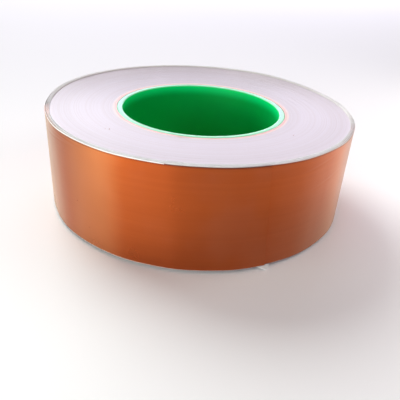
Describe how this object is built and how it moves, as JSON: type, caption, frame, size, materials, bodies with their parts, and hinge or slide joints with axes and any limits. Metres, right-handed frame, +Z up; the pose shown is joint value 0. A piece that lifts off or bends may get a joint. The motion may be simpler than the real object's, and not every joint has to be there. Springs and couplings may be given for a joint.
{
  "type": "copper foil tape roll",
  "caption": "Roll of wide copper foil tape with adhesive back and white release liner, wound on a green plastic core, with a free end that peels.",
  "frame": {"origin": "on the core's axis, in the plane of the core's lower end, on which the roll stands", "axes": "+Z up along the core's axis; -Y is the side where the free end of the tape lies"},
  "size_m": [0.1455, 0.1457, 0.0467],
  "materials": {
    "core_plastic": "translucent green moulded plastic with a satin face",
    "adhesive": "clear acrylic adhesive, slightly milky and glossy",
    "foil_edges": "slit edges of copper foil, pale pink",
    "liner_edges": "slit edges of coated paper, cream",
    "wound_face": "slit edges of foil and paper wound together, fine rings, lavender white",
    "liner_paper": "white coated release paper, smooth",
    "copper_foil": "rolled copper foil, semi-gloss with fine lengthwise rolling lines"
  },
  "bodies": {
    "roll": {"core": "core_plastic", "starter_strip": "adhesive", "bare_foil_turns": "foil_edges", "first_liner_turns": "liner_edges", "wound_pack": "wound_face", "loose_turns": "wound_face", "last_liner_turn": "liner_paper", "last_adhesive_turn": "adhesive", "last_foil_turn": "copper_foil"},
    "foil_end": {"foil_tail": "copper_foil", "adhesive_tail": "adhesive"},
    "liner_end": {"liner_tail": "liner_paper"}
  },
  "joints": [
    {"name": "foil_lift", "type": "hinge", "parent": "roll", "child": "foil_end", "pos_m": [-0.0118, -0.07204, 0.024], "axis": [0, 0, -1], "range_deg": [0, 150]},
    {"name": "liner_lift", "type": "hinge", "parent": "roll", "child": "liner_end", "pos_m": [-0.0118, -0.07204, 0.024], "axis": [0, 0, -1], "range_deg": [0, 75]}
  ],
  "couplings": [
    {"joint": "liner_lift", "follows": "foil_lift", "ratio": 0.5}
  ]
}
